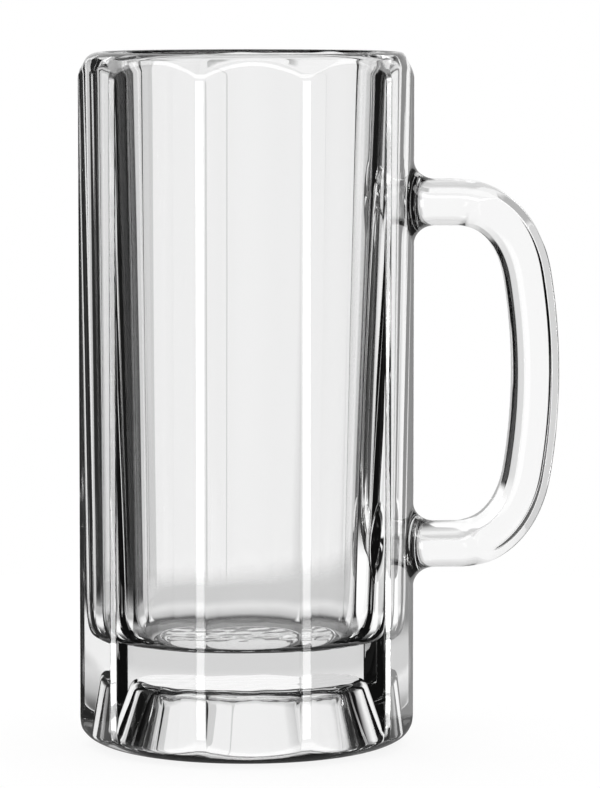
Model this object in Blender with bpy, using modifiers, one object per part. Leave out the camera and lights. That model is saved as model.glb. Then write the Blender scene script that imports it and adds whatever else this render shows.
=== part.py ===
"""Paneled glass mug: a pressed ten-sided vessel with a loop handle stuck on by two fused collars.

Lengths are in metres. +Z is up and +X points to the handle. The mug stands on z = 0 and the origin
is the bottom centre of its bounding box, so the vessel's own axis lies a little to -X.
"""

import math

import bmesh
import bpy
from mathutils import Matrix

# Vessel wall
HEIGHT = 0.178
PANEL_COUNT = 10
PANEL_APOTHEM = 0.0412  # axis to the flat of a panel
RIDGE_ROUNDING = 0.004  # radius along the upright edge between two panels

# Rim
SHOULDER_DROP = 0.006  # top of the rim down to where the outside starts to lean in
LIP_RADIUS = 0.0032  # outer rounding of the lip
LIP_INNER_RADIUS = 0.0011  # rounding from the lip's crest into the cavity

# Drinking cavity
WALL_AT_RIM = 0.0043  # glass behind the middle of a panel, at the rim
WALL_AT_FLOOR = 0.0105  # the same at the floor, so that the plunger could draw out
FLOOR_HEIGHT = 0.0277  # table to the cavity's floor
FLOOR_CORNER = 0.008  # rounding between the floor and the wall

# Foot
FOOT_CORNER_WIDTH = 0.0121  # rounded outer corner, measured inwards
FOOT_CORNER_HEIGHT = 0.0068  # and upwards
RING_WIDTH = 0.0021  # flat ring that the mug stands on
RECESS_DEPTH = 0.0177  # hollow under the foot, inside the ring
RECESS_TAPER = 0.0068  # how much its radius shrinks towards its top
RECESS_ROUNDING = 0.0035  # along its top edge

# Handle
HANDLE_STANDOFF = 0.0372  # ridge of the vessel to the outer face of the grip
HANDLE_RAISE = 0.0065  # middle of the grip above the vessel's half height
ARM_SPACING = 0.0883  # between the centre lines of the two arms
BAR_THICKNESS = 0.012  # in the plane of the loop
BAR_WIDTH = 0.0135  # across that plane
GRIP_BOW = 0.0021  # how far the middle of the grip stands out beyond its ends
BEND_WIDTH = 0.0183  # size of the bend from arm to grip, along X
BEND_HEIGHT = 0.0187  # and along Z
BEND_PULL = 0.56  # share of the bend that its tangents reach over
COLLAR_FILLET = 0.005  # radius of the flare where an arm meets the vessel

# Meshing and fits
GAP = 0.0003  # clearance between pieces that touch
TURN_STEPS = 60
ARC_STEPS = 6
RIDGE_STEPS = 4
BAR_SIDES_LEVEL = 7  # bevel resolution of the round bar
BEND_STEPS = 8
WELD_DISTANCE = 0.00001
SHARP_EDGE = math.radians(40.0)  # edges sharper than this stay crisp

PANEL_HALF_ANGLE = math.pi / PANEL_COUNT
SHARP_RIDGE_RADIUS = PANEL_APOTHEM / math.cos(PANEL_HALF_ANGLE)
RIDGE_RADIUS = SHARP_RIDGE_RADIUS - RIDGE_ROUNDING * (1.0 / math.cos(PANEL_HALF_ANGLE) - 1.0)
BACK_REACH = RIDGE_RADIUS if PANEL_COUNT % 2 == 0 else PANEL_APOTHEM
RING_OUTER_RADIUS = SHARP_RIDGE_RADIUS - FOOT_CORNER_WIDTH
RECESS_RADIUS = RING_OUTER_RADIUS - RING_WIDTH
NECK_X = RIDGE_RADIUS + COLLAR_FILLET
HANDLE_REACH = RIDGE_RADIUS + HANDLE_STANDOFF
HANDLE_MIDDLE = HEIGHT / 2 + HANDLE_RAISE
UPPER_ARM_HEIGHT = HANDLE_MIDDLE + ARM_SPACING / 2
LOWER_ARM_HEIGHT = HANDLE_MIDDLE - ARM_SPACING / 2


def clear_scene():
    for obj in list(bpy.data.objects):
        bpy.data.objects.remove(obj, do_unlink=True)


def new_collection(name):
    collection = bpy.data.collections.new(name)
    bpy.context.scene.collection.children.link(collection)
    return collection


def add_object(name, data, collection, parent):
    obj = bpy.data.objects.new(name, data)
    obj.parent = parent
    collection.objects.link(obj)
    return obj


def glass_material(name):
    """Clear pressed glass: colourless, smooth and fully transmitting."""
    material = bpy.data.materials.new(name)
    material.use_nodes = True
    shader = material.node_tree.nodes["Principled BSDF"]
    shader.inputs["Base Color"].default_value = (0.96, 0.97, 0.97, 1.0)
    shader.inputs["Roughness"].default_value = 0.03
    shader.inputs["Metallic"].default_value = 0.0
    shader.inputs["IOR"].default_value = 1.5
    shader.inputs["Transmission Weight"].default_value = 1.0
    return material


def mark_as_cutter(obj):
    obj.hide_render = True
    obj.display_type = "WIRE"


def add_boolean(obj, operation, cutter):
    modifier = obj.modifiers.new(cutter.name, "BOOLEAN")
    modifier.operation = operation
    modifier.object = cutter
    modifier.solver = "EXACT"


def arc(center, radii, start, end, steps=ARC_STEPS):
    """Points on an elliptical arc in the (radius, height) plane, both ends included."""
    points = []
    for step in range(steps + 1):
        angle = start + (end - start) * step / steps
        r = center[0] + radii[0] * math.cos(angle)
        z = center[1] + radii[1] * math.sin(angle)
        points.append((r, z))
    return points


def fillet(corner, arm_in, arm_out, radius):
    """Points of a round fillet at a corner, between unit directions that leave the corner."""
    half = math.acos(arm_in[0] * arm_out[0] + arm_in[1] * arm_out[1]) / 2
    reach = radius / math.tan(half)
    bisector = (arm_in[0] + arm_out[0], arm_in[1] + arm_out[1])
    length = math.hypot(*bisector)
    distance = radius / math.sin(half)
    center = (
        corner[0] + bisector[0] / length * distance,
        corner[1] + bisector[1] / length * distance,
    )
    start_point = (corner[0] + arm_in[0] * reach, corner[1] + arm_in[1] * reach)
    end_point = (corner[0] + arm_out[0] * reach, corner[1] + arm_out[1] * reach)
    start = math.atan2(start_point[1] - center[1], start_point[0] - center[0])
    end = math.atan2(end_point[1] - center[1], end_point[0] - center[0])
    turn = (end - start + math.pi) % (2 * math.pi) - math.pi
    return arc(center, (radius, radius), start, start + turn)


def direction(start, end):
    length = math.hypot(end[0] - start[0], end[1] - start[1])
    return ((end[0] - start[0]) / length, (end[1] - start[1]) / length)


def tangent_angle(point, center, radius):
    """Angle on a circle where a line from a point outside touches its upper side."""
    away = (point[0] - center[0], point[1] - center[1])
    return math.atan2(away[1], away[0]) + math.acos(radius / math.hypot(*away))


def vessel_profile():
    """Half section of the turned blank, from the cavity floor over the rim to the recess."""
    quarter = math.pi / 2
    floor_corner = (PANEL_APOTHEM - WALL_AT_FLOOR, FLOOR_HEIGHT)
    wall_top = (PANEL_APOTHEM - WALL_AT_RIM, HEIGHT - LIP_INNER_RADIUS)
    crest = wall_top[0] + LIP_INNER_RADIUS
    inner_lip_center = (crest, HEIGHT - LIP_INNER_RADIUS)
    lip_center = (crest, HEIGHT - LIP_RADIUS)
    shoulder_foot = (SHARP_RIDGE_RADIUS, HEIGHT - SHOULDER_DROP)
    foot_center = (RING_OUTER_RADIUS, FOOT_CORNER_HEIGHT)
    foot_radii = (FOOT_CORNER_WIDTH, FOOT_CORNER_HEIGHT)
    recess_mouth = (RECESS_RADIUS, 0.0)
    recess_corner = (RECESS_RADIUS - RECESS_TAPER, RECESS_DEPTH)

    points = [(0.0, FLOOR_HEIGHT)]
    points += fillet(floor_corner, (-1.0, 0.0), direction(floor_corner, wall_top), FLOOR_CORNER)
    points += arc(inner_lip_center, (LIP_INNER_RADIUS, LIP_INNER_RADIUS), math.pi, quarter)
    shoulder_lean = tangent_angle(shoulder_foot, lip_center, LIP_RADIUS)
    points += arc(lip_center, (LIP_RADIUS, LIP_RADIUS), quarter, shoulder_lean)[1:]
    points.append(shoulder_foot)
    points += arc(foot_center, foot_radii, 0.0, -quarter)
    points.append(recess_mouth)
    recess_side = direction(recess_corner, recess_mouth)
    points += fillet(recess_corner, recess_side, (-1.0, 0.0), RECESS_ROUNDING)
    points.append((0.0, RECESS_DEPTH))
    return points


def turned_mesh(name, profile):
    mesh = bpy.data.meshes.new(name)
    verts = [(r, 0.0, z) for r, z in profile]
    edges = [(i, i + 1) for i in range(len(profile) - 1)]
    mesh.from_pydata(verts, edges, [])
    return mesh


def add_turning(obj):
    screw = obj.modifiers.new("turning", "SCREW")
    screw.axis = "Z"
    screw.angle = 2 * math.pi
    screw.steps = TURN_STEPS
    screw.render_steps = TURN_STEPS
    screw.use_merge_vertices = True
    screw.merge_threshold = WELD_DISTANCE


def panel_prism(name, growth, collection, parent):
    """Many-sided prism with rounded upright edges, one edge towards +X, taller than the vessel."""
    bm = bmesh.new()
    bmesh.ops.create_cone(
        bm,
        cap_ends=True,
        segments=PANEL_COUNT,
        radius1=SHARP_RIDGE_RADIUS + growth / math.cos(PANEL_HALF_ANGLE),
        radius2=SHARP_RIDGE_RADIUS + growth / math.cos(PANEL_HALF_ANGLE),
        depth=HEIGHT * 2,
    )
    first = max(bm.verts, key=lambda vert: vert.co.y)
    turn = -math.atan2(first.co.y, first.co.x)
    bmesh.ops.rotate(bm, verts=bm.verts, cent=(0, 0, 0), matrix=Matrix.Rotation(turn, 3, "Z"))
    upright = [e for e in bm.edges if abs(e.verts[0].co.z - e.verts[1].co.z) > HEIGHT]
    bmesh.ops.bevel(
        bm,
        geom=upright,
        offset=(RIDGE_ROUNDING + growth) * math.tan(PANEL_HALF_ANGLE),
        offset_type="OFFSET",
        segments=RIDGE_STEPS,
        profile=0.5,
        affect="EDGES",
    )
    mesh = bpy.data.meshes.new(name)
    bm.to_mesh(mesh)
    bm.free()
    prism = add_object(name, mesh, collection, parent)
    prism.location.z = HEIGHT / 2
    mark_as_cutter(prism)
    return prism


def make_body(parts, cutters, vessel):
    """Turned blank cut to flat panels, which end in arcs where the rim and foot curve away."""
    mesh = turned_mesh("mug_body", vessel_profile())
    body = add_object("mug_body", mesh, parts, vessel)
    add_turning(body)
    add_boolean(body, "INTERSECT", panel_prism("panel_planes", 0.0, cutters, vessel))
    mesh.materials.append(glass_material("mug_body_glass"))
    return body


def handle_centre_line():
    """Bezier knots (point, left tangent, right tangent) of the loop, from top arm to bottom arm."""
    grip_x = HANDLE_REACH - BAR_THICKNESS / 2
    bend_end_x = grip_x - GRIP_BOW
    bend_start_x = bend_end_x - BEND_WIDTH
    bend_end_rise = ARM_SPACING / 2 - BEND_HEIGHT
    lean = 2 * GRIP_BOW / bend_end_rise
    start_x = NECK_X + GAP
    arm_third = (bend_start_x - start_x) / 3
    grip_third = bend_end_rise / 3
    bend_up = BEND_HEIGHT * BEND_PULL
    half = [
        (start_x, ARM_SPACING / 2, (-arm_third, 0.0), (arm_third, 0.0)),
        (bend_start_x, ARM_SPACING / 2, (-arm_third, 0.0), (BEND_WIDTH * BEND_PULL, 0.0)),
        (bend_end_x, bend_end_rise, (-lean * bend_up, bend_up), (lean * grip_third, -grip_third)),
    ]
    middle = [(grip_x, 0.0, (0.0, grip_third), (0.0, -grip_third))]
    mirrored = []
    for x, z, left, right in reversed(half):
        mirrored.append((x, -z, (right[0], -right[1]), (left[0], -left[1])))
    return half + middle + mirrored


def bar_curve(name):
    curve = bpy.data.curves.new(name, "CURVE")
    curve.dimensions = "3D"
    curve.bevel_depth = BAR_THICKNESS / 2
    curve.bevel_resolution = BAR_SIDES_LEVEL
    curve.use_fill_caps = True
    curve.resolution_u = BEND_STEPS
    return curve


def make_handle(parts, vessel):
    """Solid bar bent to a loop; the loop lies in the XZ plane, so stretching Y widens the bar."""
    curve = bar_curve("handle")
    knots = handle_centre_line()
    spline = curve.splines.new("BEZIER")
    spline.bezier_points.add(len(knots) - 1)
    for point, (x, z, left, right) in zip(spline.bezier_points, knots):
        point.handle_left_type = "FREE"
        point.handle_right_type = "FREE"
        point.co = (x, 0.0, z)
        point.handle_left = (x + left[0], 0.0, z + left[1])
        point.handle_right = (x + right[0], 0.0, z + right[1])
    handle = add_object("handle", curve, parts, vessel)
    handle.location.z = HANDLE_MIDDLE
    handle.scale.y = BAR_WIDTH / BAR_THICKNESS
    curve.materials.append(glass_material("handle_glass"))
    return handle


def collar_stations():
    """(distance out from the ridge, radius as a share of the bar's) along a collar."""
    bar_radius = BAR_THICKNESS / 2
    stations = [(-COLLAR_FILLET, (bar_radius + COLLAR_FILLET) / bar_radius)]
    center = (bar_radius + COLLAR_FILLET, COLLAR_FILLET)
    flare = arc(center, (COLLAR_FILLET, COLLAR_FILLET), -math.pi / 2, -math.pi)
    for radius, distance in flare:
        stations.append((distance, radius / bar_radius))
    return stations


def panel_fall(y):
    """How far the two panels beside the ridge fall back from it, at a distance y to one side."""
    beside = abs(y)
    round_half = RIDGE_ROUNDING * math.sin(PANEL_HALF_ANGLE)
    if beside < round_half:
        return RIDGE_ROUNDING - math.sqrt(RIDGE_ROUNDING**2 - beside**2)
    return RIDGE_RADIUS - (SHARP_RIDGE_RADIUS - beside * math.tan(PANEL_HALF_ANGLE))


def make_collar(name, height, parts, vessel, clearance_prism):
    """Flare of fused glass: it leans back with the panels and ends square where the bar begins."""
    curve = bar_curve(name)
    stations = collar_stations()
    spline = curve.splines.new("POLY")
    spline.points.add(len(stations) - 1)
    for point, (distance, share) in zip(spline.points, stations):
        point.co = (distance, 0.0, 0.0, 1.0)
        point.radius = share
    guide = add_object(name + "_guide", curve, parts, vessel)
    guide.scale.y = BAR_WIDTH / BAR_THICKNESS
    guide.location = (RIDGE_RADIUS, 0.0, height)
    bpy.context.view_layer.update()

    evaluated = guide.evaluated_get(bpy.context.evaluated_depsgraph_get())
    mesh = bpy.data.meshes.new_from_object(evaluated)
    mesh.name = name
    bm = bmesh.new()
    bm.from_mesh(mesh)
    bmesh.ops.remove_doubles(bm, verts=bm.verts, dist=WELD_DISTANCE)
    for vert in bm.verts:
        towards_neck = min(max(vert.co.x / COLLAR_FILLET, 0.0), 1.0)
        sideways = vert.co.y * guide.scale.y
        vert.co.x -= panel_fall(sideways) * (1.0 - towards_neck)
    bm.to_mesh(mesh)
    bm.free()
    mesh.shade_smooth()
    mesh.set_sharp_from_angle(angle=SHARP_EDGE)

    collar = add_object(name, mesh, parts, vessel)
    collar.matrix_local = guide.matrix_local
    bpy.data.objects.remove(guide)
    bpy.data.curves.remove(curve)
    add_boolean(collar, "DIFFERENCE", clearance_prism)
    mesh.materials.clear()
    mesh.materials.append(glass_material(name + "_glass"))
    return collar


def main():
    clear_scene()
    parts = new_collection("paneled_glass_mug")
    cutters = new_collection("mug_cutters")
    vessel = add_object("vessel_axis", None, parts, None)
    vessel.location.x = -(HANDLE_REACH - BACK_REACH) / 2

    make_body(parts, cutters, vessel)
    make_handle(parts, vessel)
    clearance_prism = panel_prism("collar_seat", GAP, cutters, vessel)
    make_collar("upper_handle_weld", UPPER_ARM_HEIGHT, parts, vessel, clearance_prism)
    make_collar("lower_handle_weld", LOWER_ARM_HEIGHT, parts, vessel, clearance_prism)
    bpy.context.view_layer.update()


main()
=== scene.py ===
"""Looks of the paneled glass mug: clear pressed glass in a bright studio, seen from the photograph's angle.

Lengths are in metres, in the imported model's frame: +Z up, +X towards the handle, z = 0 on the table.
"""

import math

import bpy
import numpy as np
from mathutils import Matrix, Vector
from mathutils.geometry import delaunay_2d_cdt


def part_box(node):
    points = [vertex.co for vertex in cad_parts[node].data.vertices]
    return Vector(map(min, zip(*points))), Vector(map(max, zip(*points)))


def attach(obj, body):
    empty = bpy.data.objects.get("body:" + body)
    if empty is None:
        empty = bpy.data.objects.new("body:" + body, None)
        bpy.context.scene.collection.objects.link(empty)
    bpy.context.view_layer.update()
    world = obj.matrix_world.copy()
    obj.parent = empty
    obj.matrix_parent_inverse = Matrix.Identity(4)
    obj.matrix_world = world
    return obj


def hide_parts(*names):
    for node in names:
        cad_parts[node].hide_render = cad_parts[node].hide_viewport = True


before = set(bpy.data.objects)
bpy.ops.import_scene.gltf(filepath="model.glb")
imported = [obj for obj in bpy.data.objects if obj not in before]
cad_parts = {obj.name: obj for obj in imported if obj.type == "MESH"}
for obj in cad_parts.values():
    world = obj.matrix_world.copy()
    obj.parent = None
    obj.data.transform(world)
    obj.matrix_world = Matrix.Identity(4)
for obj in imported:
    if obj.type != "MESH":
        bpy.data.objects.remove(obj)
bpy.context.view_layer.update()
BODY_LOW, BODY_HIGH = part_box("mug_body")
HANDLE_LOW, HANDLE_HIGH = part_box("handle")

# Vessel, from the frame
AXIS_X = (BODY_LOW.x + BODY_HIGH.x) / 2
HEIGHT = BODY_HIGH.z
PANEL_COUNT = 10
PANEL_ANGLE = 2 * math.pi / PANEL_COUNT
APOTHEM = BODY_HIGH.y
SHARP_RIDGE_RADIUS = APOTHEM / math.cos(PANEL_ANGLE / 2)
RIDGE_WIDTH = 0.0027  # narrow polished face along the edge between two panels
RIDGE_DISTANCE = SHARP_RIDGE_RADIUS - RIDGE_WIDTH / 2 * math.tan(PANEL_ANGLE / 2)
RIDGE_CROWN = math.radians(2.5)  # how far the narrow face's slope turns from its middle to its sides
RIDGE_RAISE = 0.00003  # how far the narrow face stands proud of the panels
RIDGE_FLANK = 0.0004  # width of the step down to the panels
EDGE_POWER = 1500.0  # the higher, the crisper the edges between faces of the vessel

# Rim
SHOULDER_DROP = 0.006
SHOULDER_PAST = 0.0045  # how far the turned shoulder goes on past the ridges, where the panels cut it
LIP_RADIUS = 0.0032
LIP_INNER_RADIUS = 0.0011

# Cavity
WALL_AT_RIM = 0.0042
WALL_AT_FLOOR = 0.0105
FLOOR_HEIGHT = 0.0262  # middle of the floor, which is dished
FLOOR_SLOPE = math.radians(7.0)  # at the edge of the dish
CREASE_SLOPE = math.radians(28.0)  # where the corner comes down to the floor
CORNER_WIDTH = 0.0030
CORNER_HEIGHT = 0.009
CREASE_GAP = 0.00008  # from the last row of the dish to the crease, so that the crease stays crisp
CREASE_SHARE = 0.15  # and the first row after it, as a share of the corner's first step
CAVITY_LEAN = math.radians(0.68)  # the plunger stood a little askew, towards the handle at the top
LEAN_CENTER = 0.106  # height where the leaning cavity's axis crosses the vessel's

# Foot
FOOT_CORNER_WIDTH = 0.0121
FOOT_CORNER_HEIGHT = 0.0068
FOOT_LEAVE = math.radians(-10.0)  # where the foot's rounding goes over into a straight line
FOOT_LEAD = 0.006  # length of that line, where the panels cut it
RING_WIDTH = 0.0021
RING_EDGE = 0.0005
RECESS_DEPTH = 0.0177
RECESS_TAPER = 0.0068
RECESS_ROUNDING = 0.0035

# Unevenness of the pressed glass
FLOOR_RIPPLE = 0.00002
FLOOR_WAVE = 0.011  # length of the floor's waves
FLOOR_SEED = 3
RECESS_RIPPLE = 0.00011
RECESS_WAVE = 0.009
RECESS_SEED = 5
RECESS_SIDE_RIPPLE = 0.00004
RECESS_SIDE_SEED = 23
WALL_RIPPLE = 0.00003
WALL_SEED = 11
WAVE_COUNT = 8
STREAK_COUNTS = (7, 11, 17, 26, 34)  # upright waves round a wall
STREAK_DRIFT = 25.0

# Where one kind of unevenness fades into the next: radii in the cavity, heights elsewhere
FLOOR_FADE = (0.022, 0.029)
WALL_FADE = (0.024, 0.030)
LIP_FADE = (HEIGHT - 0.012, HEIGHT - 0.002)
RECESS_FOOT_FADE = (0.001, 0.004)
RECESS_TOP_FADE = (0.012, RECESS_DEPTH)

# Polished bevel between a panel and the turned rim or foot
ARC_BEVEL = 0.0005
ARC_SOFTNESS = 0.0002

# Handle
BAR_RADIUS = 0.006
GRIP_BOW = 0.0021
BEND_WIDTH = 0.0183
BEND_HEIGHT = 0.0187
BEND_PULL = 0.56
UPPER_ARM = HANDLE_HIGH.z - BAR_RADIUS
LOWER_ARM = HANDLE_LOW.z + BAR_RADIUS
NECK_X = HANDLE_LOW.x
COLLAR_HALF_HEIGHT = 0.0108
COLLAR_HALF_ANGLE = math.radians(14.2)
CURVE_PULL = 0.56  # share of a quarter curve that its tangents reach over

# Mesh steps
PANEL_STEPS = 16
DISH_STEPS = 40
CORNER_STEPS = 24
INNER_WALL_STEPS = 70
LIP_INNER_STEPS = 8
LIP_STEPS = 14
SHOULDER_STEPS = 48
OUTER_WALL_STEPS = 71
FOOT_LEAD_STEPS = 16
FOOT_STEPS = 40
RING_STEPS = 4
RING_EDGE_STEPS = 5
RECESS_SIDE_STEPS = 14
RECESS_ROUNDING_STEPS = 12
RECESS_TOP_STEPS = 36
ARM_STEPS = 6
BEND_STEPS = 36
GRIP_STEPS = 20
FLARE_STEPS = 20
LOOP_POINTS = 96  # round the bar and round a collar's edge
SHARP_EDGE = math.radians(50.0)  # edges sharper than this stay crisp
UNCUT = 1.0  # a blank at least this much too wide, so that only the panels shape the wall

# Camera, fitted to the photograph's outline
PHOTO_HEIGHT = 788
FOCAL_PIXELS = 4737.0
CAMERA_PLACE = (-0.0693, -1.2096, 0.19885)
CAMERA_HEADING = math.radians(3.05)
CAMERA_PITCH = math.radians(-5.12)
SENSOR = 36.0


def arc(center, radii, start, end, steps):
    """Points on an elliptical arc in the (radius, height) plane, both ends included."""
    angles = np.linspace(start, end, steps + 1)
    r = center[0] + radii[0] * np.cos(angles)
    z = center[1] + radii[1] * np.sin(angles)
    return list(zip(r, z))


def line(start, end, steps):
    """Points on a straight line, both ends included."""
    share = np.linspace(0.0, 1.0, steps + 1)
    r = start[0] + (end[0] - start[0]) * share
    z = start[1] + (end[1] - start[1]) * share
    return list(zip(r, z))


def direction(start, end):
    length = math.hypot(end[0] - start[0], end[1] - start[1])
    return ((end[0] - start[0]) / length, (end[1] - start[1]) / length)


def fillet(corner, arm_in, arm_out, radius, steps):
    """Points of a round fillet at a corner, between unit directions that leave the corner."""
    half = math.acos(arm_in[0] * arm_out[0] + arm_in[1] * arm_out[1]) / 2
    reach = radius / math.tan(half)
    middle = (arm_in[0] + arm_out[0], arm_in[1] + arm_out[1])
    distance = radius / math.sin(half) / math.hypot(*middle)
    center = (corner[0] + middle[0] * distance, corner[1] + middle[1] * distance)
    first = (corner[0] + arm_in[0] * reach, corner[1] + arm_in[1] * reach)
    last = (corner[0] + arm_out[0] * reach, corner[1] + arm_out[1] * reach)
    start = math.atan2(first[1] - center[1], first[0] - center[0])
    end = math.atan2(last[1] - center[1], last[0] - center[0])
    turn = (end - start + math.pi) % (2 * math.pi) - math.pi
    return arc(center, (radius, radius), start, start + turn, steps)


def bezier(p0, p1, p2, p3, steps):
    t = np.linspace(0.0, 1.0, steps + 1)[:, None]
    p0, p1, p2, p3 = (np.array(p, float) for p in (p0, p1, p2, p3))
    s = 1 - t
    return s**3 * p0 + 3 * s**2 * t * p1 + 3 * s * t**2 * p2 + t**3 * p3


def smooth_step(value, low, high):
    share = np.clip((value - low) / (high - low), 0.0, 1.0)
    return share * share * (3 - 2 * share)


def panel_radius(angle):
    """Distance from the axis to the wall of panels and narrow ridge faces; a ridge lies at angle 0."""
    angle = np.asarray(angle, float)
    from_ridge = (angle + PANEL_ANGLE / 2) % PANEL_ANGLE - PANEL_ANGLE / 2
    from_panel = PANEL_ANGLE / 2 - np.abs(from_ridge)
    panel = np.log(np.cos(from_panel) / APOTHEM)
    across = SHARP_RIDGE_RADIUS * np.sin(from_ridge) / (RIDGE_WIDTH / 2)
    crown = RIDGE_WIDTH / 4 * math.tan(RIDGE_CROWN) * (1.0 - across**2)
    ridge = np.log(np.cos(from_ridge) / (RIDGE_DISTANCE + crown))
    radius = np.exp(-np.logaddexp(panel * EDGE_POWER, ridge * EDGE_POWER) / EDGE_POWER)
    beside = np.abs(SHARP_RIDGE_RADIUS * np.sin(from_ridge)) - RIDGE_WIDTH / 2
    return radius + RIDGE_RAISE * (1.0 - smooth_step(beside, 0.0, RIDGE_FLANK))


def soft_min(a, b, width):
    """The smaller of two distances, rounded over where they are closer than width."""
    near = np.maximum(width - np.abs(a - b), 0.0) / width
    return np.minimum(a, b) - near**2 * width / 4


# Upright grid lines, in degrees: from the edge of a narrow ridge face, and from the face's middle
EDGE_LINES = (-0.75, -0.4, -0.22, -0.12, -0.05, 0.0, 0.05, 0.12, 0.22, 0.4, 0.8, 1.4)
MIDDLE_LINE = 0.3


def column_angles():
    """Angles of the body's upright grid lines: close together at the ridges' edges, wider on the panels."""
    edge = math.degrees(RIDGE_WIDTH / 2 / RIDGE_DISTANCE)
    side = [edge + step for step in EDGE_LINES]
    ridge = [-s for s in reversed(side)] + [-MIDDLE_LINE, MIDDLE_LINE] + side
    ridge = np.radians(sorted(ridge))
    panel = np.linspace(ridge[-1], PANEL_ANGLE + ridge[0], PANEL_STEPS + 1)[1:-1]
    one = np.concatenate([ridge, panel])
    return np.concatenate([one + PANEL_ANGLE * k for k in range(PANEL_COUNT)])


def cut_radius(turned, panel):
    """Turned blank cut by the panels, with a narrow bevel along the arcs where the two meet."""
    bevel = (turned + panel - ARC_BEVEL) / 2
    return soft_min(soft_min(turned, panel, ARC_SOFTNESS), bevel, ARC_SOFTNESS)


def body_rows():
    """Rows of the body's grid as (turned radius, height, share of panel cut, share of cavity lean)."""
    quarter = math.pi / 2
    rows = []

    def extend(points, cut, lean_start, lean_end=None):
        lean_end = lean_start if lean_end is None else lean_end
        leans = np.linspace(lean_start, lean_end, len(points))
        for (r, z), lean in zip(points, leans):
            rows.append((r, z, cut, lean))

    wall_top = (APOTHEM - WALL_AT_RIM, HEIGHT - LIP_INNER_RADIUS)
    crest = wall_top[0] + LIP_INNER_RADIUS
    dish_radius = APOTHEM - WALL_AT_FLOOR - CORNER_WIDTH
    dish_edge = FLOOR_HEIGHT + dish_radius * math.tan(FLOOR_SLOPE) / 2
    dish = []
    for r in [*np.linspace(0.0, dish_radius, DISH_STEPS + 1)[1:-1], dish_radius - CREASE_GAP]:
        dish.append((r, FLOOR_HEIGHT + (dish_edge - FLOOR_HEIGHT) * (r / dish_radius) ** 2))
    extend(dish, False, 1.0)
    wall_foot = (APOTHEM - WALL_AT_FLOOR, dish_edge + CORNER_HEIGHT)
    upward = direction(wall_foot, wall_top)
    pull_in = CURVE_PULL * CORNER_WIDTH
    pull_up = CURVE_PULL * CORNER_HEIGHT
    corner_points = bezier(
        (dish_radius, dish_edge),
        (dish_radius + pull_in, dish_edge + pull_in * math.tan(CREASE_SLOPE)),
        (wall_foot[0] - pull_up * upward[0], wall_foot[1] - pull_up * upward[1]),
        wall_foot,
        CORNER_STEPS,
    )
    crease_next = corner_points[0] + (corner_points[1] - corner_points[0]) * CREASE_SHARE
    extend([corner_points[0], crease_next], False, 1.0)
    extend(corner_points[1:], False, 1.0)
    extend(line(corner_points[-1], wall_top, INNER_WALL_STEPS)[1:-1], False, 1.0)
    inner_center = (crest, HEIGHT - LIP_INNER_RADIUS)
    inner_radii = (LIP_INNER_RADIUS, LIP_INNER_RADIUS)
    extend(arc(inner_center, inner_radii, math.pi, quarter, LIP_INNER_STEPS), False, 1.0)

    lip_center = (crest, HEIGHT - LIP_RADIUS)
    shoulder = (SHARP_RIDGE_RADIUS, HEIGHT - SHOULDER_DROP)
    away = (shoulder[0] - lip_center[0], shoulder[1] - lip_center[1])
    touch = math.atan2(away[1], away[0]) + math.acos(LIP_RADIUS / math.hypot(*away))
    lip_points = arc(lip_center, (LIP_RADIUS, LIP_RADIUS), quarter, touch, LIP_STEPS)
    extend(lip_points[1:], True, 1.0, 0.0)
    slope = direction(lip_points[-1], shoulder)
    shoulder_end = (shoulder[0] + slope[0] * SHOULDER_PAST, shoulder[1] + slope[1] * SHOULDER_PAST)
    extend(line(lip_points[-1], shoulder_end, SHOULDER_STEPS)[1:], True, 0.0)

    ring_outer = SHARP_RIDGE_RADIUS - FOOT_CORNER_WIDTH
    foot_center = (ring_outer, FOOT_CORNER_HEIGHT)
    foot_radii = (FOOT_CORNER_WIDTH, FOOT_CORNER_HEIGHT)
    foot_points = arc(foot_center, foot_radii, FOOT_LEAVE, -quarter, FOOT_STEPS)
    tangent = direction(
        (0.0, 0.0),
        (-FOOT_CORNER_WIDTH * math.sin(FOOT_LEAVE), FOOT_CORNER_HEIGHT * math.cos(FOOT_LEAVE)),
    )
    foot_start = (foot_points[0][0] + tangent[0] * FOOT_LEAD, foot_points[0][1] + tangent[1] * FOOT_LEAD)
    wall_heights = np.linspace(shoulder_end[1], foot_start[1], OUTER_WALL_STEPS + 1)[1:-1]
    extend([(SHARP_RIDGE_RADIUS + UNCUT, z) for z in wall_heights], True, 0.0)
    extend(line(foot_start, foot_points[0], FOOT_LEAD_STEPS)[:-1], True, 0.0)
    extend(foot_points[:-1], True, 0.0)

    recess_radius = ring_outer - RING_WIDTH
    recess_corner = (recess_radius - RECESS_TAPER, RECESS_DEPTH)
    mouth = (recess_radius, 0.0)
    extend([foot_points[-1]], False, 0.0)
    side = direction(mouth, recess_corner)
    mouth_points = fillet(mouth, (1.0, 0.0), side, RING_EDGE, RING_EDGE_STEPS)
    extend(line(foot_points[-1], mouth_points[0], RING_STEPS)[1:-1], False, 0.0)
    extend(mouth_points, False, 0.0)
    down = (-side[0], -side[1])
    top_points = fillet(recess_corner, down, (-1.0, 0.0), RECESS_ROUNDING, RECESS_ROUNDING_STEPS)
    extend(line(mouth_points[-1], top_points[0], RECESS_SIDE_STEPS)[1:-1], False, 0.0)
    extend(top_points, False, 0.0)
    extend(line(top_points[-1], (0.0, RECESS_DEPTH), RECESS_TOP_STEPS)[1:-1], False, 0.0)
    return rows


def wall_point(angle, z):
    """A point on the plain outer wall, for arrays of angles and heights."""
    r = panel_radius(angle)
    return np.stack([AXIS_X + r * np.cos(angle), r * np.sin(angle), z + 0 * r], axis=-1)


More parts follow.
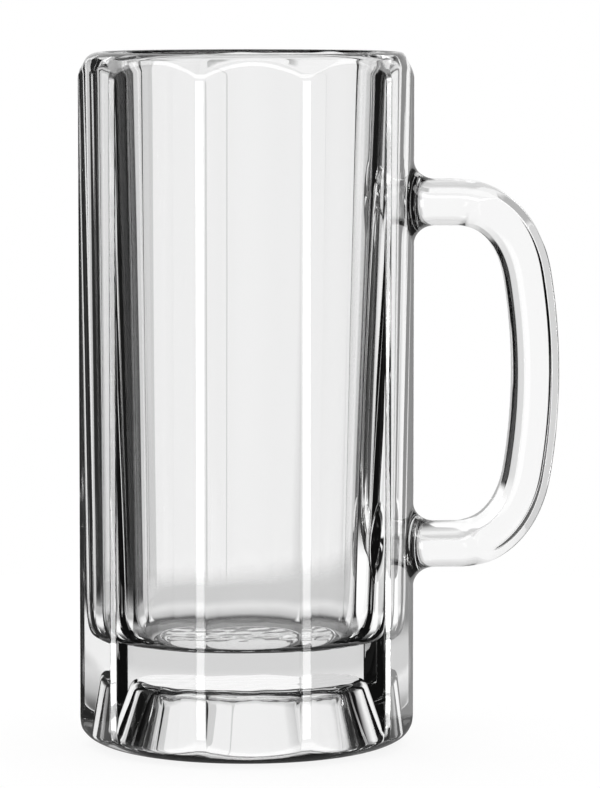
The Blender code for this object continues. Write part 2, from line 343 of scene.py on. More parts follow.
def ripples(x, y, length, seed):
    """Gentle unevenness of pressed glass: a few crossing waves of about the given length."""
    chance = np.random.default_rng(seed)
    total = np.zeros_like(np.asarray(x + y, float))
    for _ in range(WAVE_COUNT):
        heading = chance.uniform(0.0, 2 * math.pi)
        phase = chance.uniform(0.0, 2 * math.pi)
        pitch = 2 * math.pi / (length * chance.uniform(0.7, 1.6))
        total += np.sin(pitch * (x * math.cos(heading) + y * math.sin(heading)) + phase)
    return total / math.sqrt(WAVE_COUNT)


def streaks(angle, z, seed):
    """Upright waves round a wall, which drift a little sideways from foot to rim."""
    chance = np.random.default_rng(seed)
    total = np.zeros_like(np.asarray(angle, float))
    for count in STREAK_COUNTS:
        phase = chance.uniform(0.0, 2 * math.pi)
        drift = chance.uniform(-STREAK_DRIFT, STREAK_DRIFT)
        total += np.cos(count * angle + phase + drift * z) / math.sqrt(count / STREAK_COUNTS[0])
    return total / math.sqrt(len(STREAK_COUNTS))


def floor_ripple(x, y):
    return FLOOR_RIPPLE * ripples(x, y, FLOOR_WAVE, FLOOR_SEED)


def recess_ripple(x, y):
    return RECESS_RIPPLE * ripples(x, y, RECESS_WAVE, RECESS_SEED)


def body_grid():
    """Points of the body's grid, rows by columns, and the row data that made it."""
    rows = body_rows()
    angles = column_angles()
    panel = panel_radius(angles)
    points = np.zeros((len(rows), len(angles), 3))
    for index, (radius, z, cut, lean) in enumerate(rows):
        r = cut_radius(np.full_like(panel, radius), panel) if cut else radius
        shift = lean * math.tan(CAVITY_LEAN) * (z - LEAN_CENTER)
        rise = np.full_like(panel, z)
        if not cut and lean > 0.0:
            upright = smooth_step(radius, *WALL_FADE) * (1.0 - smooth_step(z, *LIP_FADE))
            r = radius + WALL_RIPPLE * upright * streaks(angles, z, WALL_SEED)
            level = 1.0 - smooth_step(radius, *FLOOR_FADE)
            rise += level * floor_ripple(radius * np.cos(angles), radius * np.sin(angles))
        elif not cut and z > RECESS_FOOT_FADE[0]:
            upright = smooth_step(z, *RECESS_FOOT_FADE) * (1.0 - smooth_step(z, *RECESS_TOP_FADE))
            r = radius + RECESS_SIDE_RIPPLE * upright * streaks(angles, z, RECESS_SIDE_SEED)
            level = smooth_step(z, *RECESS_TOP_FADE)
            rise += level * recess_ripple(radius * np.cos(angles), radius * np.sin(angles))
        points[index, :, 0] = AXIS_X + shift + r * np.cos(angles)
        points[index, :, 1] = r * np.sin(angles)
        points[index, :, 2] = rise
    return points, rows, angles


class MeshMaker:
    """Collects points and faces with material numbers, and makes a mesh object of them."""

    def __init__(self):
        self.points = []
        self.faces = []
        self.slots = []

    def add_points(self, points):
        first = len(self.points)
        self.points.extend(tuple(map(float, p)) for p in points)
        return list(range(first, len(self.points)))

    def add_face(self, face, slot=0):
        self.faces.append(tuple(face))
        self.slots.append(slot)

    def make(self, name, materials, sharp):
        mesh = bpy.data.meshes.new(name)
        mesh.from_pydata(self.points, [], self.faces)
        for material in materials:
            mesh.materials.append(material)
        mesh.polygons.foreach_set("material_index", self.slots)
        mesh.shade_smooth()
        mesh.set_sharp_from_angle(angle=sharp)
        mesh.update()
        obj = bpy.data.objects.new(name, mesh)
        bpy.context.scene.collection.objects.link(obj)
        return obj


WINDOW_MARGIN = 0.0035  # wall round a collar that is meshed anew with it
LOOP_CLEARANCE = 1.04  # grid points nearer to the collar's edge than this share of its size are left out
INNER_RINGS = (0.86, 0.7, 0.5, 0.25)  # rings of points inside the edge, as shares of its size
ON_THE_EDGE = 0.9999


def collar_loop(height):
    """Angles and heights of the closed line where a collar meets the wall."""
    turn = np.linspace(0.0, 2 * math.pi, LOOP_POINTS, endpoint=False)
    return COLLAR_HALF_ANGLE * np.cos(turn), height + COLLAR_HALF_HEIGHT * np.sin(turn)


def collar_patch(height, grid_angles, grid_heights):
    """Triangles over a window of the wall, with the collar's loop as an edge line.

    Gives (angles, heights, triangles inside the loop, triangles outside it, first loop point,
    window corner lookup). Points on the window's border are those of the body's grid.
    """
    flat = []
    lookup = {}
    scale = APOTHEM
    loop_angle, loop_height = collar_loop(height)

    def share(angle, z):
        return math.hypot(angle / COLLAR_HALF_ANGLE, (z - height) / COLLAR_HALF_HEIGHT)

    last_row = len(grid_heights) - 1
    last_column = len(grid_angles) - 1
    for i, z in enumerate(grid_heights):
        for j, angle in enumerate(grid_angles):
            border = i in (0, last_row) or j in (0, last_column)
            if border or share(angle, z) > LOOP_CLEARANCE:
                lookup[(i, j)] = len(flat)
                flat.append((angle, z))
    first_loop = len(flat)
    flat.extend(zip(loop_angle, loop_height))
    for ring in INNER_RINGS:
        for angle, z in zip(loop_angle[::4], loop_height[::4]):
            flat.append((angle * ring, height + (z - height) * ring))
    edges = []
    for k in range(LOOP_POINTS):
        edges.append((first_loop + k, first_loop + (k + 1) % LOOP_POINTS))
    coords = [Vector((angle * scale, z)) for angle, z in flat]
    verts, _, faces, orig, _, _ = delaunay_2d_cdt(coords, edges, [], 0, 1e-9)
    assert len(verts) == len(flat)
    back = [sources[0] for sources in orig]
    inside = []
    outside = []
    for face in faces:
        triangle = [back[v] for v in face]
        angle = sum(flat[v][0] for v in triangle) / 3
        z = sum(flat[v][1] for v in triangle) / 3
        (inside if share(angle, z) < ON_THE_EDGE else outside).append(triangle)
    return np.array(flat), inside, outside, first_loop, lookup


def make_body(glass, joint):
    """The vessel as one closed grid; under each collar its wall holds the fused joint's faces."""
    points, rows, angles = body_grid()
    row_count, column_count, _ = points.shape
    maker = MeshMaker()
    index = np.array(maker.add_points(points.reshape(-1, 3))).reshape(row_count, column_count)
    heights = np.array([row[1] for row in rows])
    plain = np.array([row[2] and row[0] > UNCUT for row in rows])

    skipped = set()
    half_panel = PANEL_ANGLE / 2
    signed = (angles + math.pi) % (2 * math.pi) - math.pi
    window_columns = [j for j in np.argsort(signed) if abs(signed[j]) <= half_panel + 1e-6]
    patches = []
    for height in (UPPER_ARM, LOWER_ARM):
        near = COLLAR_HALF_HEIGHT + WINDOW_MARGIN
        window_rows = [i for i in range(row_count) if plain[i] and abs(heights[i] - height) < near]
        window_rows = window_rows[::-1]
        flat, inside, outside, first_loop, lookup = collar_patch(
            height, signed[window_columns], heights[window_rows]
        )
        known = {v: index[window_rows[i], window_columns[j]] for (i, j), v in lookup.items()}
        fresh = [v for v in range(len(flat)) if v not in known]
        placed = wall_point(flat[fresh, 0], flat[fresh, 1])
        known.update(zip(fresh, maker.add_points(placed)))
        for triangles, slot in ((outside, 0), (inside, 1)):
            for triangle in triangles:
                maker.add_face([known[v] for v in triangle], slot)
        for i in window_rows[1:]:
            for j in window_columns[:-1]:
                skipped.add((i, j))
        patches.append((flat, inside, first_loop))

    for i in range(row_count - 1):
        for j in range(column_count):
            if (i, j) in skipped:
                continue
            k = (j + 1) % column_count
            maker.add_face((index[i, j], index[i + 1, j], index[i + 1, k], index[i, k]))
    shift = math.tan(CAVITY_LEAN) * (FLOOR_HEIGHT - LEAN_CENTER)
    floor_pole, recess_pole = maker.add_points(
        [
            (AXIS_X + shift, 0.0, FLOOR_HEIGHT + floor_ripple(0.0, 0.0)),
            (AXIS_X, 0.0, RECESS_DEPTH + recess_ripple(0.0, 0.0)),
        ]
    )
    for j in range(column_count):
        k = (j + 1) % column_count
        maker.add_face((floor_pole, index[0, j], index[0, k]))
        maker.add_face((recess_pole, index[-1, k], index[-1, j]))
    body = maker.make("glass_body", [glass, joint], SHARP_EDGE)
    return body, patches


def handle_line():
    """Centre line of the loop as (x, z) points from the upper neck to the lower, with the grip share."""
    grip_x = HANDLE_HIGH.x - BAR_RADIUS
    middle = (UPPER_ARM + LOWER_ARM) / 2
    spacing = UPPER_ARM - LOWER_ARM
    bend_end_x = grip_x - GRIP_BOW
    bend_start_x = bend_end_x - BEND_WIDTH
    rise = spacing / 2 - BEND_HEIGHT
    lean = 2 * GRIP_BOW / rise
    arm_third = (bend_start_x - NECK_X) / 3
    bend_up = BEND_HEIGHT * BEND_PULL
    top = spacing / 2
    arm = bezier(
        (NECK_X, top),
        (NECK_X + arm_third, top),
        (bend_start_x - arm_third, top),
        (bend_start_x, top),
        ARM_STEPS,
    )
    bend = bezier(
        (bend_start_x, top),
        (bend_start_x + BEND_WIDTH * BEND_PULL, top),
        (bend_end_x - lean * bend_up, rise + bend_up),
        (bend_end_x, rise),
        BEND_STEPS,
    )
    grip = bezier(
        (bend_end_x, rise),
        (bend_end_x + lean * rise / 3, rise - rise / 3),
        (grip_x, rise / 3),
        (grip_x, 0.0),
        GRIP_STEPS,
    )
    half = np.concatenate([arm, bend[1:], grip[1:]])
    mirrored = half[::-1][1:] * np.array([1.0, -1.0])
    points = np.concatenate([half, mirrored])
    shares = np.concatenate(
        [
            np.zeros(len(arm)),
            smooth_step(np.linspace(0.0, 1.0, len(bend))[1:], 0.0, FACETS_FULL),
            np.ones(len(grip) - 1),
        ]
    )
    shares = np.concatenate([shares, shares[::-1][1:]])
    points[:, 1] += middle
    return points, shares


GRIP_FACETS = (
    # Facing in degrees (0 outwards from the vessel, 90 across) and distance from the bar's middle
    (0.0, 0.00595),
    (20.0, 0.006915),
    (42.0, 0.00734),
    (90.0, 0.00675),
    (97.0, 0.00687),
    (136.6, 0.00689),
    (155.0, 0.00644),
    (180.0, 0.00595),
)
GRIP_ROUND = 0.0105  # radius of the round bar that the facets are cut from
FACETS_FULL = 0.7  # share of the bend after which the facets are fully there
BAR_EDGE_POWER = 260.0  # the higher, the crisper the edges between facets
EDGE_CROWDING = 9.0  # how much closer the section's points lie at an edge
EDGE_REACH = 0.03  # and how far from it, in radians
FINE_STEPS = 7200


def bar_turns(share):
    """Angles of the bar's section points, drawn together at the grip's edges as share goes to 1."""
    even = np.linspace(0.0, 2 * math.pi, LOOP_POINTS, endpoint=False)
    edges = []
    for (a, da), (b, db) in zip(GRIP_FACETS, GRIP_FACETS[1:]):
        a, b = math.radians(a), math.radians(b)
        edges.append(math.atan2(db * math.cos(a) - da * math.cos(b), da * math.sin(b) - db * math.sin(a)))
    edges = edges + [2 * math.pi - edge for edge in edges]
    fine = np.linspace(0.0, 2 * math.pi, FINE_STEPS + 1)
    weight = np.ones_like(fine)
    for edge in edges:
        weight += EDGE_CROWDING * np.exp(-(((fine - edge) / EDGE_REACH) ** 2))
    total = np.concatenate([[0.0], np.cumsum((weight[1:] + weight[:-1]) / 2)])
    drawn = np.interp(np.arange(LOOP_POINTS) / LOOP_POINTS * total[-1], total, fine)
    return even + (drawn - even) * share


def bar_section(share):
    """Outline of the bar at LOOP_POINTS angles: round at the arms, faceted at the grip."""
    turn = bar_turns(share)
    round_radius = BAR_RADIUS + (GRIP_ROUND - BAR_RADIUS) * share
    scale = BAR_RADIUS
    total = (scale / round_radius) ** BAR_EDGE_POWER * np.ones_like(turn)
    for degrees, distance in GRIP_FACETS:
        for side in (1.0, -1.0) if 0.0 < degrees < 180.0 else (1.0,):
            facing = np.maximum(np.cos(turn - side * math.radians(degrees)), 0.0)
            total += (scale * facing / distance) ** BAR_EDGE_POWER
    radius = scale * total ** (-1.0 / BAR_EDGE_POWER)
    radius = np.where(share > 0.0, radius, BAR_RADIUS)
    return radius * np.cos(turn), radius * np.sin(turn)


JOINT_DOME = 0.00005  # keeps the two faces of a fused joint from lying in one another
DISC_RINGS = (0.66, 0.33)  # rings of points across a joint, as shares of its radius


def disc(maker, loop, center, flip, dome=0.0):
    """Fused joint's faces across the end of a bar: rings of quads round a middle point."""
    rings = [loop]
    edge = np.array([maker.points[v] for v in loop])
    back = np.array([dome, 0.0, 0.0])
    for share in DISC_RINGS:
        rings.append(maker.add_points(center + (edge - center) * share - back * (1 - share**2)))
    pole = maker.add_points([center - back])[0]
    count = len(loop)
    for outer, inner in zip(rings, rings[1:]):
        for k in range(count):
            m = (k + 1) % count
            face = (outer[k], outer[m], inner[m], inner[k])
            maker.add_face(face[::-1] if flip else face, 1)
    for k in range(count):
        m = (k + 1) % count
        face = (rings[-1][k], rings[-1][m], pole)
        maker.add_face(face[::-1] if flip else face, 1)


def make_handle(glass, joint):
    """The loop: a bar swept along its centre line, closed at both necks by fused-joint faces."""
    points, shares = handle_line()
    tangents = np.gradient(points, axis=0)
    tangents /= np.linalg.norm(tangents, axis=1)[:, None]
    maker = MeshMaker()
    loops = []
    for (x, z), (tx, tz), share in zip(points, tangents, shares):
        out, across = bar_section(share)
        ring = np.stack([x - tz * out, across, z + tx * out], axis=-1)
        loops.append(maker.add_points(ring))
    count = LOOP_POINTS
    for first, second in zip(loops, loops[1:]):
        for k in range(count):
            m = (k + 1) % count
            maker.add_face((first[k], second[k], second[m], first[m]))
    disc(maker, loops[0], np.array([points[0][0], 0.0, points[0][1]]), False)
    disc(maker, loops[-1], np.array([points[-1][0], 0.0, points[-1][1]]), True)
    return maker.make("glass_handle", [glass, joint], SHARP_EDGE)


def neck_ring(height):
    """Bar's outline at the neck, in the order of the collar's loop on the wall."""
    turn = np.linspace(0.0, 2 * math.pi, LOOP_POINTS, endpoint=False)
    across = BAR_RADIUS * np.cos(turn)
    up = BAR_RADIUS * np.sin(turn)
    return np.stack([np.full_like(turn, NECK_X), across, height + up], axis=-1)


FLARE_INWARD = 0.97  # a loop just inside a collar's edge gives the way the flare starts


def make_collar(name, height, patch, glass, joint):
    """Flare of fused glass from the wall's loop to the neck, closed by the faces it shares with both."""
    flat, inside, first_loop = patch
    maker = MeshMaker()
    used = sorted({v for triangle in inside for v in triangle})
    wall = wall_point(flat[used, 0], flat[used, 1])
    from_middle = np.hypot(flat[used, 0] / COLLAR_HALF_ANGLE, (flat[used, 1] - height) / COLLAR_HALF_HEIGHT)
    wall[:, 0] += JOINT_DOME * np.maximum(1 - from_middle**2, 0.0)
    number = dict(zip(used, maker.add_points(wall)))
    for triangle in inside:
        maker.add_face([number[v] for v in triangle[::-1]], 1)
    foot = [number[first_loop + k] for k in range(LOOP_POINTS)]
    foot_points = np.array([maker.points[v] for v in foot])
    loop_angle, loop_height = collar_loop(height)
    inner = wall_point(loop_angle * FLARE_INWARD, height + (loop_height - height) * FLARE_INWARD)
    along = inner - foot_points
    along /= np.linalg.norm(along, axis=1)[:, None]
    neck_points = neck_ring(height)
    gap = neck_points - foot_points
    radial = np.hypot(gap[:, 1], gap[:, 2])[:, None]
    axial = np.abs(gap[:, 0])[:, None]
    first_handle = foot_points + along * radial * CURVE_PULL
    second_handle = neck_points - np.array([1.0, 0.0, 0.0]) * axial * CURVE_PULL
    loops = [foot]
    for step in range(1, FLARE_STEPS + 1):
        t = step / FLARE_STEPS
        s = 1 - t
        ring = (
            s**3 * foot_points
            + 3 * s**2 * t * first_handle
            + 3 * s * t**2 * second_handle
            + t**3 * neck_points
        )
        loops.append(maker.add_points(ring))
    count = LOOP_POINTS
    for first, second in zip(loops, loops[1:]):
        for k in range(count):
            m = (k + 1) % count
            maker.add_face((first[k], first[m], second[m], second[k]))
    disc(maker, loops[-1], np.array([NECK_X, 0.0, height]), False, JOINT_DOME)
    return maker.make(name, [glass, joint], SHARP_EDGE)


class NodeMath:
    """Writes arithmetic as shader nodes; values are numbers or output sockets."""

    def __init__(self, tree):
        self.tree = tree

    def op(self, operation, *values):
        node = self.tree.nodes.new("ShaderNodeMath")
        node.operation = operation
        for socket, value in zip(node.inputs, values):
            if isinstance(value, (int, float)):
                socket.default_value = value
            else:
                self.tree.links.new(value, socket)
        return node.outputs[0]

    def ramp(self, value, low, high):
        """0 below low, 1 above high, smooth between."""
        node = self.tree.nodes.new("ShaderNodeMapRange")
        node.interpolation_type = "SMOOTHSTEP"
        self.tree.links.new(value, node.inputs["Value"])
        node.inputs["From Min"].default_value = low
        node.inputs["From Max"].default_value = high
        return node.outputs["Result"]

    def band(self, value, low, high, soft):
        """1 between low and high, 0 outside, with soft edges."""
        up = self.ramp(value, low - soft, low + soft)
        down = self.ramp(value, high - soft, high + soft)
        return self.op("SUBTRACT", up, down)

    def slope(self, value, low, high):
        """0 below low, 1 above high, straight between."""
        result = self.ramp(value, low, high)
        result.node.interpolation_type = "LINEAR"
        return result

    def mix(self, a, b, share):
        """a where share is 0, b where it is 1."""
        return self.op("MULTIPLY_ADD", self.op("SUBTRACT", b, a), share, a)

    def heading(self, x, y):
        """Degrees to the right of the camera's heading, from -180 to 180, for a level direction."""
        turned = self.op("SUBTRACT", self.op("ARCTAN2", x, y), CAMERA_HEADING)
        return self.op("WRAP", self.op("MULTIPLY", turned, 180 / math.pi), 180.0, -180.0)

    def only_bent(self):
        """1 for rays that no face has mirrored on their way, 0 for the rest."""
        depth = self.tree.nodes.new("ShaderNodeLightPath").outputs["Glossy Depth"]
        return self.op("SUBTRACT", 1.0, self.op("MINIMUM", depth, 1.0))

    def by_ray(self, plain, through, mirrored):
        """One value for rays that the glass has bent, one for rays it mirrors, a plain one for the rest."""
        path = self.tree.nodes.new("ShaderNodeLightPath")
        bent = path.outputs["Is Transmission Ray"]
        glossy = self.op("MAXIMUM", self.op("SUBTRACT", path.outputs["Is Glossy Ray"], bent), 0.0)
        value = self.mix(self.mix(plain, through, bent), mirrored, glossy)
        return self.mix(value, plain, path.outputs["Is Camera Ray"])


def glass_material():
    """Clear pressed glass with faint unevenness in its polish."""
    material = bpy.data.materials.new("clear_glass")
    material.use_nodes = True
    tree = material.node_tree
    shader = tree.nodes["Principled BSDF"]
    shader.inputs["Base Color"].default_value = (1.0, 1.0, 1.0, 1.0)
    shader.inputs["IOR"].default_value = 1.5
    shader.inputs["Transmission Weight"].default_value = 1.0

    # Waves left by the mould and the flame, drawn out upright
    place = tree.nodes.new("ShaderNodeTexCoord")
    drawn = tree.nodes.new("ShaderNodeMapping")
    drawn.inputs["Scale"].default_value = (150.0, 150.0, 14.0)
    tree.links.new(place.outputs["Object"], drawn.inputs["Vector"])
    waves = tree.nodes.new("ShaderNodeTexNoise")
    waves.inputs["Scale"].default_value = 1.0
    waves.inputs["Detail"].default_value = 1.0
    tree.links.new(drawn.outputs["Vector"], waves.inputs["Vector"])
    bump = tree.nodes.new("ShaderNodeBump")
    bump.inputs["Strength"].default_value = 0.2
    bump.inputs["Distance"].default_value = 0.0001
    tree.links.new(waves.outputs["Fac"], bump.inputs["Height"])
    tree.links.new(bump.outputs["Normal"], shader.inputs["Normal"])

    # Fine scratches on the standing ring, where the mug rubs on tables
    scratches = tree.nodes.new("ShaderNodeTexNoise")
    scratches.inputs["Scale"].default_value = 1800.0
    scratches.inputs["Detail"].default_value = 2.0
    tree.links.new(place.outputs["Object"], scratches.inputs["Vector"])
    m = NodeMath(tree)
    split = tree.nodes.new("ShaderNodeSeparateXYZ")
    tree.links.new(place.outputs["Object"], split.inputs[0])
    ring = m.op("SUBTRACT", 1.0, m.ramp(split.outputs[2], 0.0003, 0.0009))
    worn = m.op("MULTIPLY", m.ramp(scratches.outputs["Fac"], 0.45, 0.7), 0.25)
    tree.links.new(m.op("MULTIPLY", ring, worn), shader.inputs["Roughness"])
    return material


def joint_material():
    """Inside of a fused joint: glass against glass, so light passes straight on."""
    material = bpy.data.materials.new("fused_joint")
    material.use_nodes = True
    shader = material.node_tree.nodes["Principled BSDF"]
    shader.inputs["Base Color"].default_value = (1.0, 1.0, 1.0, 1.0)
    shader.inputs["Roughness"].default_value = 0.0
    shader.inputs["IOR"].default_value = 1.0
    shader.inputs["Transmission Weight"].default_value = 1.0
    return material


# Brightness that bent rays see
WHITE = 0.95
DARK = 0.005

BACKDROP = (-27.0, 39.0, 2.0)  # white wall behind the mug: its two ends in degrees, and their softness

# Soft boxes that the glass mirrors: heading of the middle and half width in degrees, and strength
SOFT_BOXES = (
    (-31.1, 5.5, 6.0),
    (42.2, 5.5, 6.0),
    (-104.2, 5.5, 9.0),
    (115.2, 5.5, 9.0),
    (-5.0, 2.5, 1.8),
)


def seen_through(m, turned, rise):
    """Studio as rays bent by the glass see it: white behind the mug, dark at the sides."""
    side = m.op("ABSOLUTE", turned)
    white = m.mix(1.0, 0.62, m.slope(side, 17.0, 37.0))
    sides = m.mix(0.05, DARK, m.ramp(rise, -3.0, 1.0))
    sides = m.mix(sides, DARK, m.band(side, 30.0, 75.0, 3.0))
    low_right = m.op("MULTIPLY", m.band(turned, 48.0, 72.0, 1.0), m.band(rise, -6.0, -1.0, 0.6))
    sides = m.mix(sides, WHITE, low_right)
    low_left = m.op("MULTIPLY", m.band(turned, -72.0, -43.0, 1.5), m.band(rise, -3.8, -1.0, 0.4))
    sides = m.mix(sides, 0.45, low_left)
    sides = m.mix(sides, DARK, m.band(side, 121.0, 160.0, 4.0))
    sides = m.mix(sides, 0.1, m.ramp(side, 158.0, 166.0))

    # Rays that no face inside the glass has mirrored show the white room on the other sides too
    only_bent = m.only_bent()
    other_sides = m.op("MULTIPLY", m.ramp(side, 78.0, 84.0), only_bent)
    sides = m.mix(sides, WHITE, other_sides)
    behind = m.band(turned, *BACKDROP)
    level = m.mix(sides, white, behind)

    # Overhead it is dark, but far less so for those rays
    overhead = m.mix(level, m.op("MULTIPLY", level, 0.45), m.ramp(rise, 23.0, 28.0))
    overhead = m.mix(overhead, 0.03, m.ramp(rise, 29.0, 37.0))
    level = m.mix(overhead, level, m.op("MULTIPLY", only_bent, 0.8))

    # Below, beyond the part of the table that the floor shows
    below = m.mix(WHITE, 0.3, m.band(turned, 42.0, 78.0, 4.0))
    below = m.mix(below, 0.4, m.ramp(side, 76.0, 82.0))
    below = m.mix(below, DARK, m.band(turned, -117.0, -38.0, 3.0))
    below = m.mix(below, WHITE, m.op("MULTIPLY", m.ramp(side, 38.0, 42.0), only_bent))
    steep = m.op("SUBTRACT", 1.0, m.ramp(rise, -36.0, -32.0))
    below = m.mix(below, 0.05, m.op("MULTIPLY", m.band(side, 40.0, 75.0, 4.0), steep))

    # Far part of the table, which greys the outer facet of the handle's upper bend
    far_table = m.band(rise, -27.0, -19.0, 1.0)
    below = m.mix(below, 0.5, m.op("MULTIPLY", m.band(turned, -30.0, -8.0, 2.0), far_table))
    edge = m.mix(-20.0, -13.0, behind)
    return m.mix(below, level, m.ramp(m.op("SUBTRACT", rise, edge), -2.0, 2.0))


def seen_mirrored(m, turned, rise, dx, dy, dz):
    """Studio as the glass mirrors it: soft boxes that light the ridges, the rim's arcs and the handle."""
    facing = m.op("WRAP", m.op("SUBTRACT", 180.0, turned), 180.0, -180.0)
    mirrored = m.mix(0.1, 0.9, m.band(turned, *BACKDROP))
    level_band = m.band(rise, -16.0, 8.0, 3.0)
    for middle, half, strength in SOFT_BOXES:
        box = m.op("MULTIPLY", m.band(facing, middle - half, middle + half, 1.0), level_band)
        mirrored = m.mix(mirrored, strength, box)

    # Box above the front, for the arcs at the rim
    front = m.op("SUBTRACT", 1.0, m.ramp(m.op("ABSOLUTE", facing), 150.0, 160.0))
    front = m.op("SUBTRACT", front, m.band(facing, 93.0, 127.0, 2.0))
    top = m.op("MULTIPLY", m.band(rise, 21.0, 33.0, 2.0), front)
    mirrored = m.mix(mirrored, 4.0, top)

    # Long strip above, for the handle's arms
    tilt = m.op("MULTIPLY", m.op("ARCTAN2", dz, m.op("MULTIPLY", dy, -1.0)), 180 / math.pi)
    strip = m.op("MULTIPLY", m.band(tilt, 47.0, 72.0, 1.0), m.band(dx, -0.3, 0.85, 0.02))
    return m.mix(mirrored, 1.8, strip)


def make_world():
    """Studio round the mug: plain white to the camera, a tuned bright field to the glass."""
    world = bpy.data.worlds.new("studio")
    bpy.context.scene.world = world
    world.use_nodes = True
    tree = world.node_tree
    tree.nodes.clear()
    m = NodeMath(tree)
    coordinate = tree.nodes.new("ShaderNodeTexCoord")
    split = tree.nodes.new("ShaderNodeSeparateXYZ")
    tree.links.new(coordinate.outputs["Generated"], split.inputs[0])
    dx, dy, dz = split.outputs
    turned = m.heading(dx, dy)
    rise = m.op("MULTIPLY", m.op("ARCSINE", dz), 180 / math.pi)
    through = seen_through(m, turned, rise)
    mirrored = seen_mirrored(m, turned, rise, dx, dy, dz)
    value = m.by_ray(1.0, through, mirrored)
    background = tree.nodes.new("ShaderNodeBackground")
    background.inputs["Color"].default_value = (1.0, 1.0, 1.0, 1.0)
    tree.links.new(value, background.inputs["Strength"])
    output = tree.nodes.new("ShaderNodeOutputWorld")
    tree.links.new(background.outputs[0], output.inputs["Surface"])


FLOOR_RADIUS = 0.35
FLOOR_POINTS = 96
FLOOR_DROP = 0.0001  # keeps the table from lying in the standing ring


def make_floor():
    """Plain white table top, with a soft shadow under the mug; to the glass it shows painted shade and
    painted light near the mug and a painted bright ring by the foot.
    """
    points = [
        (AXIS_X + FLOOR_RADIUS * math.cos(a), FLOOR_RADIUS * math.sin(a), 0.0)
        for a in np.linspace(0.0, 2 * math.pi, FLOOR_POINTS, endpoint=False)
    ]
    mesh = bpy.data.meshes.new("floor")
    mesh.from_pydata(points, [], [tuple(range(FLOOR_POINTS))])
    floor = bpy.data.objects.new("floor", mesh)
    bpy.context.scene.collection.objects.link(floor)
    floor.location.z = -FLOOR_DROP
    material = bpy.data.materials.new("white_table")
    material.use_nodes = True
    tree = material.node_tree
    tree.nodes.clear()
    m = NodeMath(tree)
    geometry = tree.nodes.new("ShaderNodeNewGeometry")
    split = tree.nodes.new("ShaderNodeSeparateXYZ")
    tree.links.new(geometry.outputs["Position"], split.inputs[0])
    x = m.op("SUBTRACT", split.outputs[0], AXIS_X)
    y = split.outputs[1]
    out = m.op("SQRT", m.op("ADD", m.op("MULTIPLY", x, x), m.op("MULTIPLY", y, y)))
    turned = m.heading(x, y)
    side = m.op("ABSOLUTE", turned)

    # Bent rays see the table with a painted shadow: darkest near the mug, lighter farther out, and a little
    # darker again beyond that
    through = m.mix(0.015, 0.45, m.ramp(out, 0.06, 0.09))
    through = m.mix(through, 0.74, m.ramp(out, 0.075, 0.13))
    through = m.mix(through, 0.55, m.ramp(out, 0.12, 0.16))
    # Painted light: to bent rays the table is white to the right of the mug
    right_side = m.band(turned, 37.0, 76.0, 2.0)
    through = m.mix(through, WHITE, m.op("MULTIPLY", right_side, m.ramp(out, 0.05, 0.07)))
    left_side = m.band(turned, -76.0, -37.0, 2.0)
    # Painted pool of light on the table to the left, bright near the mug and fading farther out
    painted_light_pool = m.mix(1.0, 0.4, m.ramp(out, 0.09, 0.13))
    through = m.mix(through, painted_light_pool, m.op("MULTIPLY", left_side, m.ramp(out, 0.05, 0.07)))
    # Right under the mug, rays that no face has mirrored see a painted mid grey in place of the painted
    # shadow
    under = m.op("SUBTRACT", 1.0, m.ramp(out, 0.028, 0.034))
    through = m.mix(through, 0.7, m.op("MULTIPLY", under, m.only_bent()))

    # Painted highlight: mirrored rays see a bright glowing ring on the table close to the foot
    mirrored = m.mix(0.1, 3.0, m.ramp(out, 0.0412, 0.0435))
    mirrored = m.mix(mirrored, 0.3, m.ramp(out, 0.055, 0.07))
    mirrored = m.mix(0.2, mirrored, m.ramp(side, 128.0, 140.0))
    # The table's glow is plain white to the camera and carries the painted shade and painted ring above for
    # the glass
    glow = tree.nodes.new("ShaderNodeEmission")
    tree.links.new(m.by_ray(0.86, through, mirrored), glow.inputs["Strength"])
    paint = tree.nodes.new("ShaderNodeBsdfDiffuse")
    paint.inputs["Color"].default_value = (0.16, 0.16, 0.16, 1.0)
    both = tree.nodes.new("ShaderNodeAddShader")
    tree.links.new(glow.outputs[0], both.inputs[0])
    tree.links.new(paint.outputs[0], both.inputs[1])

    # The glass shows only the near part of the table; farther off it shows the studio
    reach = m.mix(0.25, 0.09, m.ramp(side, 34.0, 40.0))
    reach = m.mix(m.mix(reach, 0.25, right_side), 0.2, left_side)
    near = m.op("SUBTRACT", 1.0, m.ramp(m.op("SUBTRACT", out, reach), -0.03, 0.03))
    near_mirrored = m.op("SUBTRACT", 1.0, m.ramp(out, 0.07, 0.08))
    open_air = tree.nodes.new("ShaderNodeBsdfTransparent")
    either = tree.nodes.new("ShaderNodeMixShader")
    tree.links.new(m.by_ray(1.0, near, near_mirrored), either.inputs[0])
    tree.links.new(open_air.outputs[0], either.inputs[1])
    tree.links.new(both.outputs[0], either.inputs[2])
    output = tree.nodes.new("ShaderNodeOutputMaterial")
    tree.links.new(either.outputs[0], output.inputs["Surface"])
    mesh.materials.append(material)


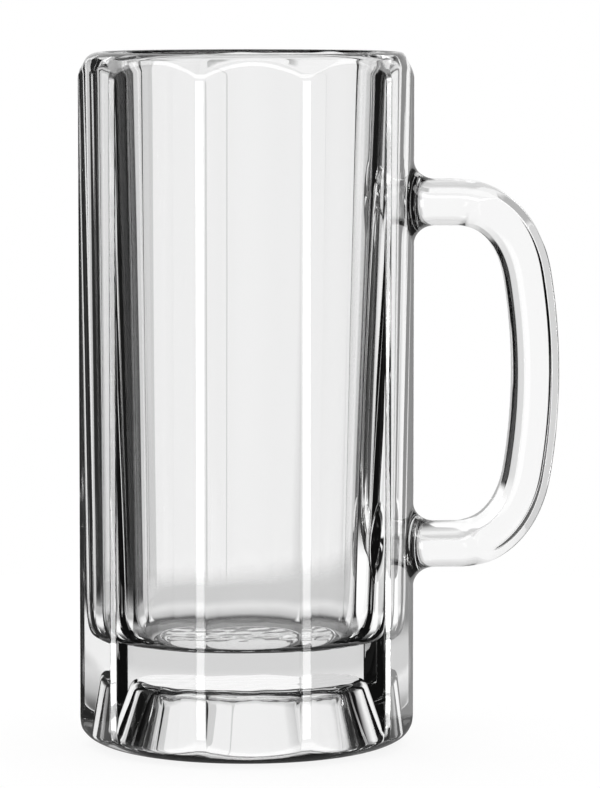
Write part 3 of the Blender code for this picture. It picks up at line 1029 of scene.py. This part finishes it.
def make_card(name, distance, across, heights, strength):
    """White card behind the mug that only the glass shows; being near, each piece sees it elsewhere."""
    forward = Vector((math.sin(CAMERA_HEADING), math.cos(CAMERA_HEADING), 0.0))
    right = Vector((math.cos(CAMERA_HEADING), -math.sin(CAMERA_HEADING), 0.0))
    middle = Vector((AXIS_X, 0.0, 0.0)) + forward * distance
    corners = []
    for i, k in ((0, 0), (1, 0), (1, 1), (0, 1)):
        corners.append(middle + right * across[i] + Vector((0.0, 0.0, heights[k])))
    mesh = bpy.data.meshes.new(name)
    mesh.from_pydata(corners, [], [(0, 1, 2, 3)])
    card = bpy.data.objects.new(name, mesh)
    bpy.context.scene.collection.objects.link(card)
    material = bpy.data.materials.new(name)
    material.use_nodes = True
    tree = material.node_tree
    tree.nodes.clear()
    m = NodeMath(tree)
    glow = tree.nodes.new("ShaderNodeEmission")
    glow.inputs["Strength"].default_value = strength
    open_air = tree.nodes.new("ShaderNodeBsdfTransparent")
    either = tree.nodes.new("ShaderNodeMixShader")
    tree.links.new(m.by_ray(0.0, 1.0, 0.0), either.inputs[0])
    tree.links.new(open_air.outputs[0], either.inputs[1])
    tree.links.new(glow.outputs[0], either.inputs[2])
    output = tree.nodes.new("ShaderNodeOutputMaterial")
    tree.links.new(either.outputs[0], output.inputs["Surface"])
    mesh.materials.append(material)


def make_camera():
    """Camera at the photograph's viewing angle."""
    data = bpy.data.cameras.new("camera")
    data.sensor_width = SENSOR
    data.lens = SENSOR * FOCAL_PIXELS / PHOTO_HEIGHT
    data.clip_start = 0.01
    data.clip_end = 20.0
    camera = bpy.data.objects.new("camera", data)
    camera.location = CAMERA_PLACE
    camera.rotation_euler = (math.pi / 2 + CAMERA_PITCH, 0.0, -CAMERA_HEADING)
    bpy.context.scene.collection.objects.link(camera)
    bpy.context.scene.camera = camera


def main():
    glass = glass_material()
    joint = joint_material()
    body, patches = make_body(glass, joint)
    handle = make_handle(glass, joint)
    upper = make_collar("glass_upper_weld", UPPER_ARM, patches[0], glass, joint)
    lower = make_collar("glass_lower_weld", LOWER_ARM, patches[1], glass, joint)
    stands_for = (
        (body, "mug_body"),
        (handle, "handle"),
        (upper, "upper_handle_weld"),
        (lower, "lower_handle_weld"),
    )
    for piece, node in stands_for:
        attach(piece, "root")
        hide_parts(node)
    make_world()
    make_floor()
    # Left end of the backdrop for the grip
    make_card("backdrop_wing", 0.6, (-0.33, -0.17), (-0.08, 0.34), 0.72)
    make_camera()
    scene = bpy.context.scene
    scene.view_settings.view_transform = "Standard"
    scene.cycles.max_bounces = 32
    scene.cycles.transmission_bounces = 32
    scene.cycles.glossy_bounces = 4


main()
